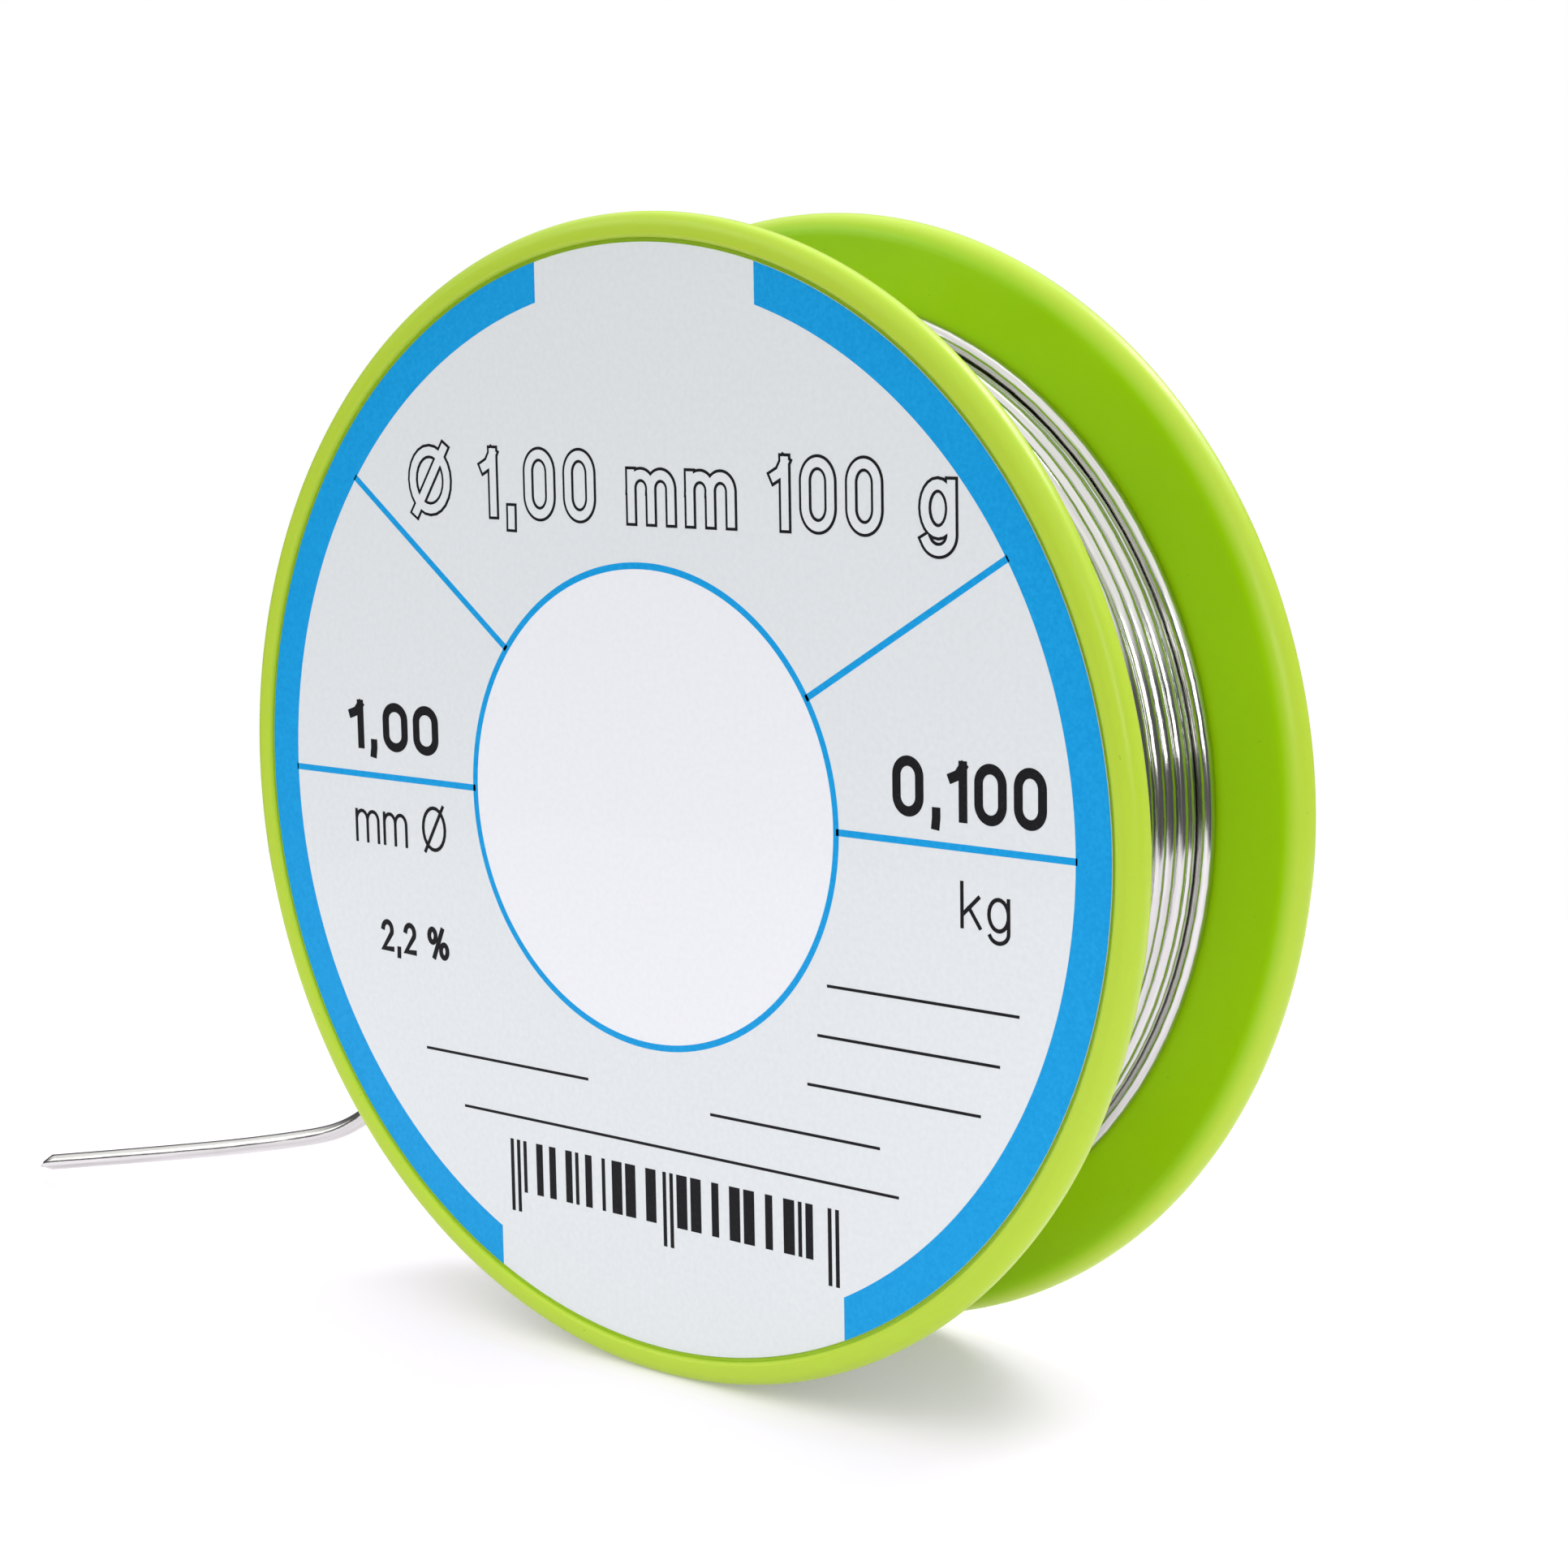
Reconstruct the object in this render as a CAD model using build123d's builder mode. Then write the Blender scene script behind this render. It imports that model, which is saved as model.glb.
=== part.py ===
"""Small spool of flux-cored solder wire: a two-part moulded reel, its sticker and the wire wound on it.

Millimetres. The spool's axis is Y, the sticker faces -Y and +Z is up. The origin is the middle of the
spindle bore, halfway between the two flanges.
"""

import math
import os

from build123d import *

# ---- driving dimensions ----

flange_diameter = 60.0
overall_width = 16.0
flange_thickness = 2.0
rim_outer_fillet = 0.7       # edge of a flange on the side away from the wire
rim_inner_fillet = 1.2       # softer edge on the side that the wire runs over
label_diameter = 57.0
label_thickness = 0.1
label_clearance = 0.2        # between the sticker's edge and the rim round it
recess_depth = 0.3           # of both outer faces, inside their rims
recess_edge_fillet = 0.25
bore_diameter = 10.0
bore_chamfer = 0.4
bore_wall = 1.0
hub_hollow = 1.95            # between the bore tube and the spigot, where the wire's inner end lies
hub_wall = 1.0               # of the spigot and of the drum round it
fit_gap = 0.05               # radial gap wherever the two mouldings plug together
spigot_end_gap = 0.25        # between the spigot's end and the hole for the wire's inner end
spigot_chamfer = 0.5
bore_seat_depth = 0.5        # how far the bore tube enters the front moulding
rib_count = 3
rib_thickness = 1.0
rib_setback = 1.0            # of the ribs' ends below the rear recess
ejector_mark_count = 6
ejector_mark_diameter = 4.0
ejector_mark_depth = 0.1
ejector_mark_circle = 42.0
wire_diameter = 1.0
flux_core_diameter = 0.36
winding_diameter = 49.8
winding_gap = 0.05           # round the winding, to the hub and to the flanges
start_hole_clearance = 0.25  # round the wire in the hole for its inner end
start_hole_angle = 150.0     # degrees round the hub, from +X towards +Z
start_inset = 1.0            # from the front flange to the middle of the start hole
start_bend_radius = 1.2
start_tail_length = 6.0      # of the wire's inner end along the hub's hollow

# ---- places that follow from them ----

flange_radius = flange_diameter / 2
face_y = overall_width / 2                     # outer face of each flange, + rear and - front
inner_y = face_y - flange_thickness            # inner face of each flange
recess_y = face_y - recess_depth
recess_radius = label_diameter / 2 + label_clearance
bore_radius = bore_diameter / 2
bore_tube_radius = bore_radius + bore_wall
spigot_bore_radius = bore_tube_radius + hub_hollow
spigot_radius = spigot_bore_radius + hub_wall
socket_radius = spigot_radius + fit_gap
hub_radius = socket_radius + hub_wall
bore_seat_y = -inner_y - bore_seat_depth       # floor of the seat in the front moulding
wire_radius = wire_diameter / 2
start_y = -inner_y + start_inset
start_hole_radius = wire_radius + start_hole_clearance
spigot_end_y = start_y + start_hole_radius + spigot_end_gap
winding_radius = winding_diameter / 2
lay_radius = winding_radius + winding_gap + wire_radius    # a strand that lies on top of the winding


def flange_outline(side, inner_points):
    """Half section of one flange in the XY plane, x as the radius and y along the axis, closed through
    inner_points near the axis. side is -1 for the front flange and +1 for the rear one."""
    with BuildSketch(Plane.XY) as outline:
        with BuildLine():
            Polyline(
                (recess_radius, side * recess_y),
                (recess_radius, side * face_y),
                (flange_radius, side * face_y),
                (flange_radius, side * inner_y),
                *inner_points,
                close=True,
            )
        make_face()
        corners = outline.vertices()
        at_rim = corners.filter_by(lambda v: abs(v.X - flange_radius) < 1e-6)
        outer_edge = at_rim.filter_by(lambda v: abs(abs(v.Y) - face_y) < 1e-6)
        inner_edge = at_rim.filter_by(lambda v: abs(abs(v.Y) - inner_y) < 1e-6)
        recess_edge = corners.filter_by(
            lambda v: abs(v.X - recess_radius) < 1e-6 and abs(abs(v.Y) - face_y) < 1e-6
        )
        fillet(outer_edge, rim_outer_fillet)
        fillet(inner_edge, rim_inner_fillet)
        fillet(recess_edge, recess_edge_fillet)
    return outline.sketch


# ---- front moulding: flange and the drum that the wire is wound on ----

start_direction = Vector(1, 0, 0).rotate(Axis.Y, -start_hole_angle)

with BuildPart() as front_spool_half:
    add(
        flange_outline(
            -1,
            [
                (hub_radius, -inner_y),
                (hub_radius, inner_y - fit_gap),
                (socket_radius, inner_y - fit_gap),
                (socket_radius, -inner_y),
                (bore_tube_radius + fit_gap, -inner_y),
                (bore_tube_radius + fit_gap, bore_seat_y),
                (bore_radius, bore_seat_y),
                (bore_radius, -recess_y),
            ],
        )
    )
    revolve(axis=Axis.Y)
    drum_mouth = front_spool_half.edges().filter_by(GeomType.CIRCLE).filter_by(
        lambda e: abs(e.radius - socket_radius) < 1e-6 and e.center().Y > 0
    )
    chamfer(drum_mouth, spigot_chamfer)
    # the hole in the drum through which the wire's inner end is hooked
    start_plane = Plane(origin=Vector(0, start_y, 0), z_dir=start_direction)
    with BuildSketch(start_plane.offset((socket_radius + spigot_bore_radius) / 2)):
        Circle(start_hole_radius)
    extrude(amount=hub_radius - spigot_bore_radius, mode=Mode.SUBTRACT)

front_spool_half.part.label = "front_spool_half"

# ---- rear moulding: flange, spigot that plugs into the drum, spindle tube and its ribs ----

with BuildPart() as rear_spool_half:
    add(
        flange_outline(
            1,
            [
                (spigot_radius, inner_y),
                (spigot_radius, spigot_end_y),
                (spigot_bore_radius, spigot_end_y),
                (spigot_bore_radius, recess_y),
            ],
        )
    )
    revolve(axis=Axis.Y)
    spigot_tip = rear_spool_half.edges().filter_by(GeomType.CIRCLE).filter_by(
        lambda e: abs(e.radius - spigot_radius) < 1e-6 and abs(e.center().Y - spigot_end_y) < 1e-6
    )
    chamfer(spigot_tip, spigot_chamfer)
    # the tube that turns on the spindle
    with BuildSketch(Plane.XZ.offset(-recess_y)):
        Circle(bore_tube_radius)
        Circle(bore_radius, mode=Mode.SUBTRACT)
    extrude(amount=recess_y - bore_seat_y - fit_gap)
    # ribs between the tube and the spigot
    rib_length = spigot_bore_radius - bore_radius
    with BuildSketch(Plane.XZ.offset(-recess_y + rib_setback)):
        with PolarLocations((bore_radius + spigot_radius) / 2, rib_count):
            Rectangle(rib_length, rib_thickness)
    extrude(amount=recess_y - rib_setback - spigot_end_y)
    bore_mouth = rear_spool_half.edges().filter_by(GeomType.CIRCLE).filter_by(
        lambda e: abs(e.radius - bore_radius) < 1e-6 and abs(e.center().Y - recess_y) < 1e-6
    )
    chamfer(bore_mouth, bore_chamfer)
    # shallow round marks that the ejector pins leave in the rear face
    with BuildSketch(Plane.XZ.offset(-recess_y)):
        with PolarLocations(ejector_mark_circle / 2, ejector_mark_count):
            Circle(ejector_mark_diameter / 2)
    extrude(amount=ejector_mark_depth, mode=Mode.SUBTRACT)

rear_spool_half.part.label = "rear_spool_half"

# ---- round paper sticker that covers the front recess and the bore's front end ----

with BuildPart() as label_sticker:
    with BuildSketch(Plane.XZ.offset(recess_y)):
        Circle(label_diameter / 2)
    extrude(amount=label_thickness)

label_sticker.part.label = "label_sticker"

# ---- the wound wire, as the outer shape of all its turns together ----

with BuildPart() as wire_winding:
    with BuildSketch(Plane.XY):
        with BuildLine():
            Polyline(
                (hub_radius + winding_gap, -inner_y + winding_gap),
                (winding_radius, -inner_y + winding_gap),
                (winding_radius, inner_y - winding_gap),
                (hub_radius + winding_gap, inner_y - winding_gap),
                close=True,
            )
        make_face()
    revolve(axis=Axis.Y)
    shoulders = wire_winding.edges().filter_by(GeomType.CIRCLE).filter_by(
        lambda e: abs(e.radius - winding_radius) < 1e-6
    )
    fillet(shoulders, wire_radius)

wire_winding.part.label = "wire_winding"

# ---- inner end of the wire, hooked through the drum and bent along the hub's hollow ----

hollow_radius = (bore_tube_radius + spigot_bore_radius) / 2
start_points = [
    start_direction * (hub_radius + winding_gap / 2) + Vector(0, start_y, 0),
    start_direction * hollow_radius + Vector(0, start_y, 0),
    start_direction * hollow_radius + Vector(0, start_y + start_tail_length, 0),
]

with BuildPart() as wire_start:
    with BuildLine() as start_path:
        FilletPolyline(*start_points, radius=start_bend_radius)
    with BuildSketch(Plane(origin=start_points[0], z_dir=-start_direction)):
        Circle(wire_radius)
    sweep(path=start_path.wires()[0])

wire_start.part.label = "wire_start"

# ---- free end of the wire: off the top of the winding, down inside the flanges, out and along ----

free_end_points = [
    (-lay_radius, 0.9, 0.0),
    (-25.7, 0.6, -9.0),
    (-27.0, 0.3, -18.6),
    (-30.8, -0.2, -23.3),
    (-38.5, -1.2, -25.3),
    (-47.9, -2.6, -27.2),
    (-57.2, -3.8, -29.0),
]


def bend_radii(points, share=0.45):
    """The radius of the arc at each inner point: as large as its two runs allow."""
    radii = []
    for before, here, after in zip(points, points[1:], points[2:]):
        run_in = Vector(*here) - Vector(*before)
        run_out = Vector(*after) - Vector(*here)
        half_turn = math.radians(run_in.get_angle(run_out)) / 2
        radii.append(share * min(run_in.length, run_out.length) / math.tan(half_turn))
    return radii


free_end_radii = bend_radii(free_end_points)
free_end_heading = Vector(*free_end_points[1]) - Vector(*free_end_points[0])
free_end_plane = Plane(origin=Vector(*free_end_points[0]), z_dir=free_end_heading)

with BuildPart() as wire_free_end:
    with BuildLine() as free_end_path:
        FilletPolyline(*free_end_points, radius=free_end_radii)
    with BuildSketch(free_end_plane):
        Circle(wire_radius)
        Circle(flux_core_diameter / 2, mode=Mode.SUBTRACT)
    sweep(path=free_end_path.wires()[0])

wire_free_end.part.label = "wire_free_end"

# ---- the flux inside the free end ----

with BuildPart() as flux_core:
    with BuildSketch(free_end_plane):
        Circle(flux_core_diameter / 2)
    sweep(path=free_end_path.wires()[0])

flux_core.part.label = "flux_core"

# ---- files, one for each piece ----

os.makedirs("parts", exist_ok=True)
pieces = [
    front_spool_half,
    rear_spool_half,
    label_sticker,
    wire_winding,
    wire_start,
    wire_free_end,
    flux_core,
]
for piece in pieces:
    export_step(piece.part, f"parts/{piece.part.label}.step")

wire_section = math.pi * (wire_radius**2 - (flux_core_diameter / 2) ** 2)
free_end_length = free_end_path.wires()[0].length
print("free end: bend radii", [round(r, 1) for r in free_end_radii], "length", round(free_end_length, 2))
print("free end: volume", round(wire_free_end.part.volume, 3), "section times length",
      round(wire_section * free_end_length, 3))
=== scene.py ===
"""Small spool of flux-cored solder wire: lime-green reel, round paper sticker and bright wound wire.

Metres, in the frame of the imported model: the spool's axis is Y, the sticker faces -Y and +Z is up. The
script follows the making: camera and wire first, then the reel, the sticker and its print, and the studio.
"""

import math

import bpy
import numpy as np
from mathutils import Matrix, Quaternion, Vector


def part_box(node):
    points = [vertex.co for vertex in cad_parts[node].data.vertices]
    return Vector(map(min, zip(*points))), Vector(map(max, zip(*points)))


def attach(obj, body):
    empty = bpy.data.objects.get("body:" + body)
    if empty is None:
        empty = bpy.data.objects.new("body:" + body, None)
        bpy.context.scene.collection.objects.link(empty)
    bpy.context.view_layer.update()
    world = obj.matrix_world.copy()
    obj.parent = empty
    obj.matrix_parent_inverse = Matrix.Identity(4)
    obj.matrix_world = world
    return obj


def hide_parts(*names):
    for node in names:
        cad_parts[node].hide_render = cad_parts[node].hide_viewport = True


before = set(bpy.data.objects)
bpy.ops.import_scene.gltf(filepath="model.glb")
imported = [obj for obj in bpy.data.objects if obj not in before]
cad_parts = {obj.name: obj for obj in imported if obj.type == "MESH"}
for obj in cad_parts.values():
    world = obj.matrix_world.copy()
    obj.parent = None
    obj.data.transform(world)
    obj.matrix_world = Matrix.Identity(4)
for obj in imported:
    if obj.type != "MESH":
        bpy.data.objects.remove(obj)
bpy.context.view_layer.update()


# ---- camera ----
# A long lens looks from the right and from a little above the spool's middle, so the sticker is seen
# nearly in full, and the rear flange shows beside it with a strip of the wound wire.

sticker_low, sticker_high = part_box("label_sticker")
sticker_face_y = sticker_low.y
view_azimuth = math.radians(42.65)
view_elevation = math.radians(9.20)
view_distance = 0.16325
view_roll = math.radians(-0.92)
aim = Vector((0.00915, sticker_face_y, 0.00209))

towards_camera = Vector((
    math.sin(view_azimuth) * math.cos(view_elevation),
    -math.cos(view_azimuth) * math.cos(view_elevation),
    math.sin(view_elevation),
))
lens = bpy.data.cameras.new("studio_camera")
lens.lens = 73.53
lens.sensor_width = 36.0
lens.clip_start = 0.005
lens.clip_end = 20.0
camera = bpy.data.objects.new("studio_camera", lens)
camera.location = Vector((0.0, sticker_face_y, 0.0)) + view_distance * towards_camera
camera.rotation_mode = "QUATERNION"
level_gaze = (aim - camera.location).to_track_quat("-Z", "Y")
camera.rotation_quaternion = level_gaze @ Quaternion((0.0, 0.0, 1.0), view_roll)
bpy.context.scene.collection.objects.link(camera)
bpy.context.scene.camera = camera


# ---- solder wire ----
# One piece of drawn tin wire, 1 mm thick: it starts at the hole in the drum, is wound back and forth in
# sixteen layers, lies once round on top of them at the rear, crosses over and leaves on the left.

wire_diameter = 0.001
wire_radius = wire_diameter / 2
drum_radius = 0.0100
winding_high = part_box("wire_winding")[1]
winding_gap = 0.00005
layer_count = 16
first_layer_radius = drum_radius + winding_gap + wire_radius
last_layer_radius = winding_high.x - winding_gap - wire_radius
layer_pitch = (last_layer_radius - first_layer_radius) / (layer_count - 1)
lay_radius = winding_high.x + winding_gap + wire_radius
side_y = winding_high.y - wire_radius
start_angle = math.radians(150.0)
start_y = -0.005
turns_to_rear = 0.7
turns_across = 10.6
turns_at_flange = 0.5
points_per_turn = 24

# the free end, as listed: down inside the flanges, out between them and along the bench
free_end_points = [
    (-lay_radius, 0.0009, 0.0),
    (-0.0257, 0.0006, -0.0090),
    (-0.0270, 0.0003, -0.0186),
    (-0.0308, -0.0002, -0.0233),
    (-0.0385, -0.0012, -0.0253),
    (-0.0479, -0.0026, -0.0272),
    (-0.0572, -0.0038, -0.0290),
]

# where each layer begins and ends: turns so far, place along the axis, radius. The wire first crosses the
# bare drum to the rear, so the layers run forwards and back by turns, and the sixteenth ends at the rear.
corner_turn = [0.0, turns_to_rear]
corner_y = [start_y, side_y]
corner_radius = [first_layer_radius, first_layer_radius]
for layer in range(layer_count - 1):
    far_side = -side_y if layer % 2 == 0 else side_y
    next_radius = first_layer_radius + (layer + 1) * layer_pitch
    corner_turn += [corner_turn[-1] + turns_across, corner_turn[-1] + turns_across + turns_at_flange]
    corner_y += [far_side, far_side]
    corner_radius += [corner_radius[-1], next_radius]
outer_start = corner_turn[-3]

# the last layer ends a little short of the rear flange; the wire rides up into the groove beside that flange
# for most of a turn, climbs on at the top, crosses the layer and comes down the left side
groove_rise, groove_width = 0.00066, 0.00076
last_turn = math.floor(corner_turn[-1] + turns_across + 1.5) + (math.pi - start_angle) / (2 * math.pi)
corner_turn += [last_turn - back for back in (1.8, 1.15, 0.95, 0.40, 0.20, 0.0)]
corner_y += [side_y - groove_width] * 2 + [side_y, side_y, side_y - 0.0002, free_end_points[0][1]]
corner_radius += [last_layer_radius] * 2 + [last_layer_radius + groove_rise] * 2 + [lay_radius] * 2

turn = np.arange(0.0, last_turn - 0.5 / points_per_turn, 1.0 / points_per_turn)
coil_y = np.interp(turn, corner_turn, corner_y)
coil_radius = np.interp(turn, corner_turn, corner_radius)

# hand-wound unevenness: small shifts that change from turn to turn, in the two outer layers and the last turn
hand = np.random.default_rng(7)
wander_turn = np.arange(0.0, last_turn + 1.0, 0.43)
wander_y = hand.uniform(-0.00009, 0.00009, wander_turn.size)
wander_radius = hand.uniform(0.0, 0.00010, wander_turn.size)
outer = np.clip((turn - outer_start) * 2.0, 0.0, 1.0)
coil_y = np.clip(coil_y + outer * np.interp(turn, wander_turn, wander_y), -side_y, side_y)
coil_radius = coil_radius + outer * np.interp(turn, wander_turn, wander_radius) * (turn < last_turn - 1.2)

# a spline's control points lie a little outside the circle that it draws
control_radius = coil_radius / math.cos(math.pi / points_per_turn)
coil_angle = start_angle + 2 * math.pi * turn
coil_points = np.column_stack([
    control_radius * np.cos(coil_angle),
    coil_y,
    control_radius * np.sin(coil_angle),
])
route = np.vstack([coil_points, np.array(free_end_points)])


def spline_line(name, control_points, steps):
    """The line of a NURBS spline through its control points, as an array of points.

    A quadratic spline with its ends pinned, read at `steps` points for each control point."""
    curve = bpy.data.curves.new(name, "CURVE")
    curve.dimensions = "3D"
    spline = curve.splines.new("NURBS")
    spline.points.add(len(control_points) - 1)
    with_weight = np.column_stack([control_points, np.ones(len(control_points))])
    spline.points.foreach_set("co", with_weight.astype(np.float32).ravel())
    spline.order_u = 3
    spline.use_endpoint_u = True
    spline.resolution_u = steps
    holder = bpy.data.objects.new(name, curve)
    mesh = bpy.data.meshes.new_from_object(holder)
    line = np.empty(len(mesh.vertices) * 3)
    mesh.vertices.foreach_get("co", line)
    bpy.data.meshes.remove(mesh)
    bpy.data.objects.remove(holder)
    bpy.data.curves.remove(curve)
    return line.reshape(-1, 3)


def mesh_object(name, vertices, faces, smooth=True):
    """A new object of these vertices and faces, shown in the scene."""
    mesh = bpy.data.meshes.new(name)
    mesh.from_pydata(vertices.tolist(), [], faces)
    mesh.polygons.foreach_set("use_smooth", np.full(len(mesh.polygons), smooth))
    mesh.update()
    piece = bpy.data.objects.new(name, mesh)
    bpy.context.scene.collection.objects.link(piece)
    return piece


def tube_rings(line, radius, sides):
    """Rings of a tube round a line: centre + across * cos(a) * radius + above * sin(a) * radius.

    above is square to the line and nearest to the spool's axis, and across is square to both. The rings
    come back as one array of (points, sides, 3)."""
    heading = np.gradient(line, axis=0)
    heading /= np.linalg.norm(heading, axis=1)[:, None]
    axis = np.array([0.0, 1.0, 0.0])
    across = np.cross(heading, axis)
    across /= np.linalg.norm(across, axis=1)[:, None]
    above = np.cross(across, heading)
    a = np.linspace(0.0, 2 * np.pi, sides, endpoint=False)
    spread = np.cos(a)[None, :, None] * across[:, None, :] + np.sin(a)[None, :, None] * above[:, None, :]
    return line[:, None, :] + radius * spread


def tube_faces(rings, sides):
    """Quads between neighbouring rings, and one flat face on each end."""
    ring, side = np.meshgrid(np.arange(rings - 1), np.arange(sides), indexing="ij")
    here = ring * sides + side
    beside = ring * sides + (side + 1) % sides
    quads = np.stack([here, here + sides, beside + sides, beside], axis=-1).reshape(-1, 4)
    first_end = list(range(sides))
    last_end = list(range(rings * sides - 1, (rings - 1) * sides - 1, -1))
    return quads.tolist() + [first_end, last_end]


line_steps = 48
wire_line = spline_line("wire_line", route, line_steps)

# rings of the tube: 24 to a turn in the buried layers, 96 in the outer two, and closer along the free end
line_index = np.arange(len(wire_line))
line_turn = line_index / (line_steps * points_per_turn)
stride = np.where(line_turn < outer_start - 0.5, 48, 12)
stride[-line_steps * len(free_end_points):] = 3
stride[-line_steps:] = 1
wire_line = wire_line[line_index % stride == 0]
wire_sides = 12
wire_rings = tube_rings(wire_line, wire_radius, wire_sides)

# snips leave a chisel: two flats that meet in a level edge a little below the wire's middle
snip_length = 0.00075
edge_drop = 0.00014
to_tip = np.linalg.norm(wire_line - wire_line[-1], axis=1)
near_tip = to_tip < snip_length
near_tip[: len(near_tip) // 2] = False
share = np.clip(to_tip / snip_length, 0.04, 1.0)
up = np.array([0.0, 0.0, 1.0])
height = (wire_rings - wire_line[:, None, :]) @ up
ceiling = share * (wire_radius + edge_drop) - edge_drop
floor_height = -share * (wire_radius - edge_drop) - edge_drop
clipped = np.clip(height, floor_height[:, None], ceiling[:, None])
lift = np.where(near_tip[:, None], clipped - height, 0.0)
wire_rings = wire_rings + lift[:, :, None] * up

solder_wire = mesh_object("solder_wire", wire_rings.reshape(-1, 3), tube_faces(len(wire_line), wire_sides))

# the wire's own coordinates: u in metres along it, v once round it
run = np.concatenate([[0.0], np.cumsum(np.linalg.norm(np.diff(wire_line, axis=0), axis=1))])
loop_vertex = np.empty(len(solder_wire.data.loops), dtype=np.int32)
solder_wire.data.loops.foreach_get("vertex_index", loop_vertex)
wire_uv = solder_wire.data.uv_layers.new(name="along_wire")
uv = np.column_stack([run[loop_vertex // wire_sides], (loop_vertex % wire_sides) / wire_sides])
wire_uv.data.foreach_set("uv", uv.astype(np.float32).ravel())

# the amber flux that fills the wire shows in the snipped edge
flux_diameter = 0.00036
flux_rings_shown = 14
flux_share = share[-flux_rings_shown:, None]
flux_line = wire_line[-flux_rings_shown:]
flux_sides = 10
flux_rings = tube_rings(flux_line, flux_diameter / 2, flux_sides)
flux_height = (flux_rings - flux_line[:, None, :]) @ up
flux_room = np.clip(flux_share * wire_radius * 0.9, 0.00003, flux_diameter / 2)
flux_squash = np.clip(flux_height, -flux_room, flux_room) - flux_height
flux_rings = flux_rings + (flux_squash - (1 - flux_share) * edge_drop)[:, :, None] * up
flux_faces = tube_faces(flux_rings_shown, flux_sides)
flux_filling = mesh_object("flux_filling", flux_rings.reshape(-1, 3), flux_faces)


def new_material(name, base, roughness, metallic=0.0):
    """A material with one Principled shader whose own sockets hold the plain values."""
    material = bpy.data.materials.new(name)
    material.use_nodes = True
    shader = material.node_tree.nodes["Principled BSDF"]
    shader.inputs["Base Color"].default_value = (*base, 1.0)
    shader.inputs["Roughness"].default_value = roughness
    shader.inputs["Metallic"].default_value = metallic
    return material, material.node_tree.nodes, material.node_tree.links, shader


def math_node(nodes, links, operation, first, second=None, third=None):
    """One Math node; each input is a number or another node's output."""
    node = nodes.new("ShaderNodeMath")
    node.operation = operation
    for slot, value in enumerate((first, second, third)):
        if value is None:
            continue
        if isinstance(value, (int, float)):
            node.inputs[slot].default_value = value
        else:
            links.new(value, node.inputs[slot])
    return node.outputs[0]


def noise_node(nodes, links, vector, scale, detail, roughness=0.5):
    """Noise Texture of these settings on the given coordinates."""
    node = nodes.new("ShaderNodeTexNoise")
    node.inputs["Scale"].default_value = scale
    node.inputs["Detail"].default_value = detail
    node.inputs["Roughness"].default_value = roughness
    links.new(vector, node.inputs["Vector"])
    return node.outputs["Fac"]


def range_node(nodes, links, value, low, high, to_low, to_high):
    """Map Range node, clamped."""
    node = nodes.new("ShaderNodeMapRange")
    node.inputs["From Min"].default_value = low
    node.inputs["From Max"].default_value = high
    node.inputs["To Min"].default_value = to_low
    node.inputs["To Max"].default_value = to_high
    links.new(value, node.inputs["Value"])
    return node.outputs["Result"]


def blend_node(nodes, links, share_of_second, first, second):
    """Mix Color node: first where the share is 0, second where it is 1."""
    node = nodes.new("ShaderNodeMix")
    node.data_type = "RGBA"
    links.new(share_of_second, node.inputs["Factor"])
    for name, value in (("A", first), ("B", second)):
        sockets = [s for s in node.inputs if s.name == name and s.type == "RGBA"]
        if isinstance(value, tuple):
            sockets[0].default_value = (*value, 1.0)
        else:
            links.new(value, sockets[0])
    return [s for s in node.outputs if s.type == "RGBA"][0]


def value_group(name, inputs, output):
    """An empty node group with a Place input, plain number inputs and one number output."""
    group = bpy.data.node_groups.new(name, "ShaderNodeTree")
    group.interface.new_socket("Place", in_out="INPUT", socket_type="NodeSocketVector")
    for socket_name in inputs:
        group.interface.new_socket(socket_name, in_out="INPUT", socket_type="NodeSocketFloat")
    group.interface.new_socket(output, in_out="OUTPUT", socket_type="NodeSocketFloat")
    entry = group.nodes.new("NodeGroupInput")
    leave = group.nodes.new("NodeGroupOutput")
    return group, entry.outputs, leave.inputs


# the grain that every surface here has in its own size: soft noise, as a mask from 0 at Low to 1 at High
grain_group, entry, leave = value_group("fine_grain", ("Scale", "Low", "High"), "Mask")
soft_noise = noise_node(grain_group.nodes, grain_group.links, entry["Place"], 1000.0, 3.0, 0.55)
grain_group.links.new(entry["Scale"], soft_noise.node.inputs["Scale"])
grain_range = range_node(grain_group.nodes, grain_group.links, soft_noise, 0.3, 0.7, 0.0, 1.0)
grain_group.links.new(entry["Low"], grain_range.node.inputs["From Min"])
grain_group.links.new(entry["High"], grain_range.node.inputs["From Max"])
grain_group.links.new(grain_range, leave["Mask"])


def grain_mask(nodes, links, place, scale, low=0.3, high=0.7):
    """The fine grain group on the given coordinates, with this surface's own values."""
    node = nodes.new("ShaderNodeGroup")
    node.node_tree = grain_group
    node.inputs["Scale"].default_value = scale
    node.inputs["Low"].default_value = low
    node.inputs["High"].default_value = high
    links.new(place, node.inputs["Place"])
    return node.outputs["Mask"]


def bump_node(nodes, links, height, strength, distance):
    """Bump node for a height in shares of the distance."""
    node = nodes.new("ShaderNodeBump")
    node.inputs["Strength"].default_value = strength
    node.inputs["Distance"].default_value = distance
    links.new(height, node.inputs["Height"])
    return node.outputs["Normal"]


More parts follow.
